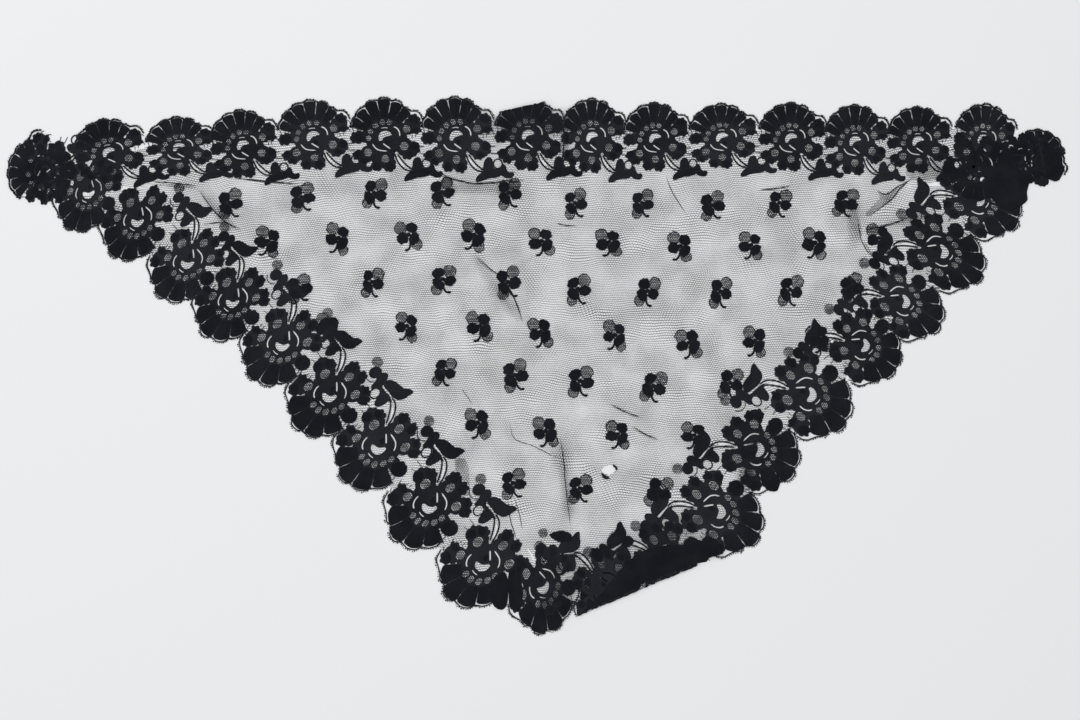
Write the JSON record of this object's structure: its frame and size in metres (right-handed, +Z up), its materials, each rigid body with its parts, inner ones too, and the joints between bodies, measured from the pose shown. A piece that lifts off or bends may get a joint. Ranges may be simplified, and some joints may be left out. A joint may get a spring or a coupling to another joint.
{
  "type": "lace shawl",
  "caption": "Triangular black lace shawl (mantilla) laid flat: fine net field with flower sprigs inside a deep scalloped flower border.",
  "frame": {"origin": "middle of the shawl's box on the surface it lies on", "axes": "+X along the long edge, +Y towards the long edge and away from the point, +Z up off the surface"},
  "size_m": [1.0552, 0.5294, 0.0066],
  "materials": {
    "net": "fine black net of twisted thread, semi-matt",
    "clothwork": "dense black lace clothwork, matt with a faint nap"
  },
  "bodies": {
    "root": {"net_field": "net", "border_top": "clothwork", "border_left": "clothwork", "border_right": "clothwork"}
  },
  "joints": []
}
